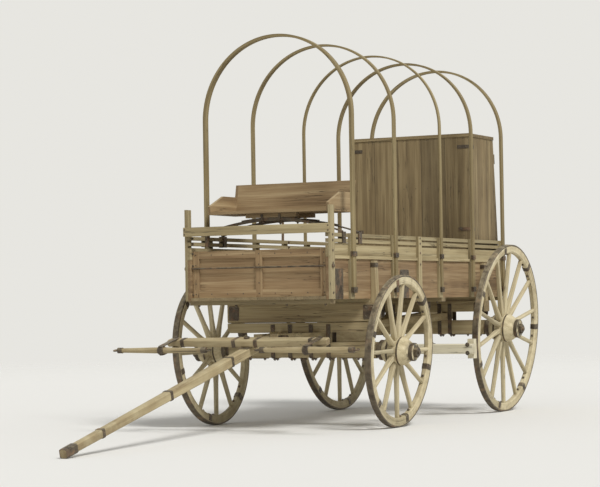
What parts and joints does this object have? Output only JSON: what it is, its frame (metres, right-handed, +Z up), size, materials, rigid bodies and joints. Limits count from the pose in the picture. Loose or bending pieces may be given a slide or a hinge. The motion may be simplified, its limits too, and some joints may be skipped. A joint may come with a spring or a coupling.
{
  "type": "chuck wagon",
  "caption": "Horse-drawn plank wagon with spoked wheels, bare bent bows, spring seat, hand brake and a drop-lid kitchen box at the tail.",
  "frame": {"origin": "on the ground, on the centre plane, midway between the tongue's tip and the back of the rear wheels", "axes": "+X the wagon's left side, +Y its tail, +Z up; it moves forward along -Y"},
  "size_m": [1.9052, 5.901, 2.808],
  "materials": {
    "gear_wood": "weathered oiled hardwood, dark with road dust",
    "wheel_wood": "bare sun-bleached hardwood",
    "box_wood": "weathered boards, faint old stain",
    "trim_wood": "pale weathered slats and cleats",
    "bow_wood": "steam-bent ash, worn",
    "chuck_wood": "weathered pine planks",
    "seat_wood": "worn seat boards",
    "gear_iron": "forged iron, dark with rust",
    "tyre_iron": "worn iron tyre, rust at the edges"
  },
  "bodies": {
    "wagon": {"reach": "gear_wood", "rear_axle": "gear_wood", "rear_skeins": "gear_iron", "rear_hounds": "gear_wood", "bolsters": "gear_wood", "gear_bolts": "gear_iron", "bed_sills": "gear_wood", "bed_floor": "box_wood", "lower_sides": "box_wood", "upper_sides": "trim_wood", "side_cleats": "trim_wood", "box_irons": "gear_iron", "bow_1": "bow_wood", "bow_2": "bow_wood", "bow_3": "bow_wood", "bow_4": "bow_wood", "bow_5": "bow_wood", "front_gate": "box_wood", "seat_springs": "gear_iron", "seat": "seat_wood", "chuck_case": "chuck_wood", "chuck_shelves": "chuck_wood", "chuck_drawers": "chuck_wood", "brake_irons": "gear_iron"},
    "front_gear": {"front_axle": "gear_wood", "front_skeins": "gear_iron", "sand_board": "gear_wood", "front_hounds": "gear_wood", "tongue_pin": "gear_iron"},
    "tongue": {"tongue": "gear_wood", "tongue_irons": "gear_iron"},
    "doubletree": {"doubletree": "gear_wood"},
    "singletree_left": {"singletree_left": "gear_wood", "singletree_left_irons": "gear_iron"},
    "singletree_right": {"singletree_right": "gear_wood", "singletree_right_irons": "gear_iron"},
    "chuck_lid": {"chuck_lid": "chuck_wood", "lid_irons": "gear_iron"},
    "lid_leg": {"lid_leg": "chuck_wood"},
    "brake_beam": {"brake_beam": "gear_wood", "beam_irons": "gear_iron"},
    "brake_lever": {"brake_lever": "gear_iron"},
    "brake_rod": {"brake_rod": "gear_iron"},
    "wheel_front_left": {"front_left_tyre": "tyre_iron", "front_left_felloes": "wheel_wood", "front_left_spokes": "wheel_wood", "front_left_hub": "wheel_wood"},
    "wheel_front_right": {"front_right_tyre": "tyre_iron", "front_right_felloes": "wheel_wood", "front_right_spokes": "wheel_wood", "front_right_hub": "wheel_wood"},
    "wheel_rear_left": {"rear_left_tyre": "tyre_iron", "rear_left_felloes": "wheel_wood", "rear_left_spokes": "wheel_wood", "rear_left_hub": "wheel_wood"},
    "wheel_rear_right": {"rear_right_tyre": "tyre_iron", "rear_right_felloes": "wheel_wood", "rear_right_spokes": "wheel_wood", "rear_right_hub": "wheel_wood"}
  },
  "joints": [
    {"name": "steer", "type": "hinge", "parent": "wagon", "child": "front_gear", "pos_m": [0, 0.20551, 0.64149], "axis": [0, 0, 1], "range_deg": [-18, 18]},
    {"name": "front_left_spin", "type": "hinge", "parent": "front_gear", "child": "wheel_front_left", "pos_m": [0.762, 0.20551, 0.5404], "axis": [0.9981, 0, -0.061], "continuous": true},
    {"name": "front_right_spin", "type": "hinge", "parent": "front_gear", "child": "wheel_front_right", "pos_m": [-0.762, 0.20551, 0.5404], "axis": [-0.9981, 0, -0.061], "continuous": true},
    {"name": "rear_left_spin", "type": "hinge", "parent": "wagon", "child": "wheel_rear_left", "pos_m": [0.762, 2.28551, 0.66516], "axis": [0.9981, 0, -0.061], "continuous": true},
    {"name": "rear_right_spin", "type": "hinge", "parent": "wagon", "child": "wheel_rear_right", "pos_m": [-0.762, 2.28551, 0.66516], "axis": [-0.9981, 0, -0.061], "continuous": true},
    {"name": "tongue_lift", "type": "hinge", "parent": "front_gear", "child": "tongue", "pos_m": [0, -0.31449, 0.64149], "axis": [-1, 0, 0], "range_deg": [0, 24]},
    {"name": "doubletree_swing", "type": "hinge", "parent": "tongue", "child": "doubletree", "pos_m": [0, -0.65041, 0.62889], "axis": [0, -0.2271, 0.9739], "range_deg": [-15, 15]},
    {"name": "singletree_left_swing", "type": "hinge", "parent": "doubletree", "child": "singletree_left", "pos_m": [0.56, -0.65041, 0.62889], "axis": [0, -0.2271, 0.9739], "range_deg": [-20, 20]},
    {"name": "singletree_right_swing", "type": "hinge", "parent": "doubletree", "child": "singletree_right", "pos_m": [-0.56, -0.65041, 0.62889], "axis": [0, -0.2271, 0.9739], "range_deg": [-20, 20]},
    {"name": "chuck_lid_drop", "type": "hinge", "parent": "wagon", "child": "chuck_lid", "pos_m": [0, 2.77668, 0.94701], "axis": [-1, 0, 0], "range_deg": [0, 95]},
    {"name": "lid_leg_swing", "type": "hinge", "parent": "chuck_lid", "child": "lid_leg", "pos_m": [0, 2.73103, 2.04822], "axis": [1, 0, 0], "range_deg": [0, 90]},
    {"name": "brake_lever_throw", "type": "hinge", "parent": "wagon", "child": "brake_lever", "pos_m": [-0.5895, 1.02551, 0.85], "axis": [1, 0, 0], "range_deg": [0, 23.4]},
    {"name": "brake_rod_swing", "type": "hinge", "parent": "brake_lever", "child": "brake_rod", "pos_m": [-0.5995, 1.01537, 0.80104], "axis": [1, 0, 0], "range_deg": [-23.82, 0]},
    {"name": "brake_beam_swing", "type": "hinge", "parent": "wagon", "child": "brake_beam", "pos_m": [0, 1.51855, 0.849], "axis": [1, 0, 0], "range_deg": [0, 4.04]}
  ],
  "couplings": [
    {"joint": "brake_rod_swing", "follows": "brake_lever_throw", "ratio": -1.0136},
    {"joint": "brake_beam_swing", "follows": "brake_lever_throw", "ratio": 0.17195}
  ]
}
